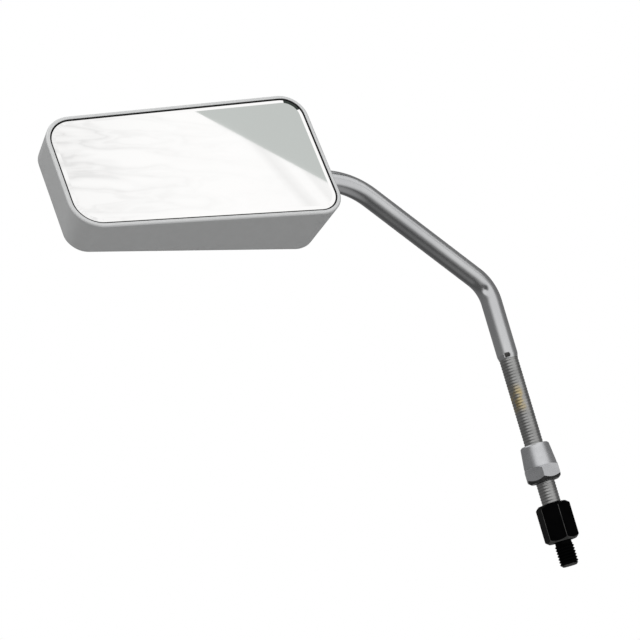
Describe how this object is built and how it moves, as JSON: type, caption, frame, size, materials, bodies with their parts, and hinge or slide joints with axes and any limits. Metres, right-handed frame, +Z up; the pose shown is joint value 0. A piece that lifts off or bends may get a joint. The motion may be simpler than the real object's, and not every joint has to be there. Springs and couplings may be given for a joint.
{
  "type": "motorcycle mirror",
  "caption": "Rectangular rear-view mirror head on a bent metal stem, clamped on a ball joint and held by a threaded rod, lock nut and hexagonal adapter with a stud.",
  "frame": {"origin": "centre of the mounting stud, at the seat face under the adapter's hexagon", "axes": "+Z up along the mounting stud and the threaded rod; the stem bends in the XZ plane towards -X; the glass faces -Y, tilted a little upwards"},
  "size_m": [0.1925, 0.0438, 0.2202],
  "materials": {
    "black_steel": "black oxide, satin",
    "rod_steel": "rolled and turned steel, satin",
    "zinc_steel": "bright zinc plate, satin",
    "stem_chrome": "dull chrome plate",
    "nylon": "natural nylon, matte",
    "housing_grey": "moulded, silver-grey satin paint",
    "foam": "closed-cell foam, matte",
    "seal_rubber": "black rubber, satin",
    "mirror_glass": "silvered flat glass, polished, ground bevel"
  },
  "bodies": {
    "base": {"adapter": "black_steel"},
    "stem": {"threaded_rod": "rod_steel", "stem_tube": "stem_chrome", "ball_stud": "rod_steel"},
    "nut": {"lock_nut": "zinc_steel"},
    "front_liner": {"liner_front": "nylon"},
    "rear_liner": {"liner_rear": "nylon"},
    "head": {"housing": "housing_grey", "clamp_plate": "zinc_steel", "spring_washers": "rod_steel", "clamp_screws": "zinc_steel", "backing_pad": "foam", "glass_seal": "seal_rubber", "mirror_glass": "mirror_glass"}
  },
  "joints": [
    {"name": "stem_swivel", "type": "hinge", "parent": "base", "child": "stem", "pos_m": [0, 0, 0], "axis": [0, 0, 1], "range_deg": [-180, 180]},
    {"name": "nut_travel", "type": "slide", "parent": "stem", "child": "nut", "axis": [0, 0, 1], "range_m": [-0.0096, 0.0377]},
    {"name": "head_pan", "type": "hinge", "parent": "stem", "child": "front_liner", "pos_m": [-0.087, 0, 0.175], "axis": [0.2364, 0, 0.9717], "range_deg": [-8, 8]},
    {"name": "head_roll", "type": "hinge", "parent": "front_liner", "child": "rear_liner", "pos_m": [-0.087, 0, 0.175], "axis": [0, 1, 0], "range_deg": [-8, 8]},
    {"name": "head_tilt", "type": "hinge", "parent": "rear_liner", "child": "head", "pos_m": [-0.087, 0, 0.175], "axis": [0.9717, 0, -0.2364], "range_deg": [-20, 20]}
  ]
}
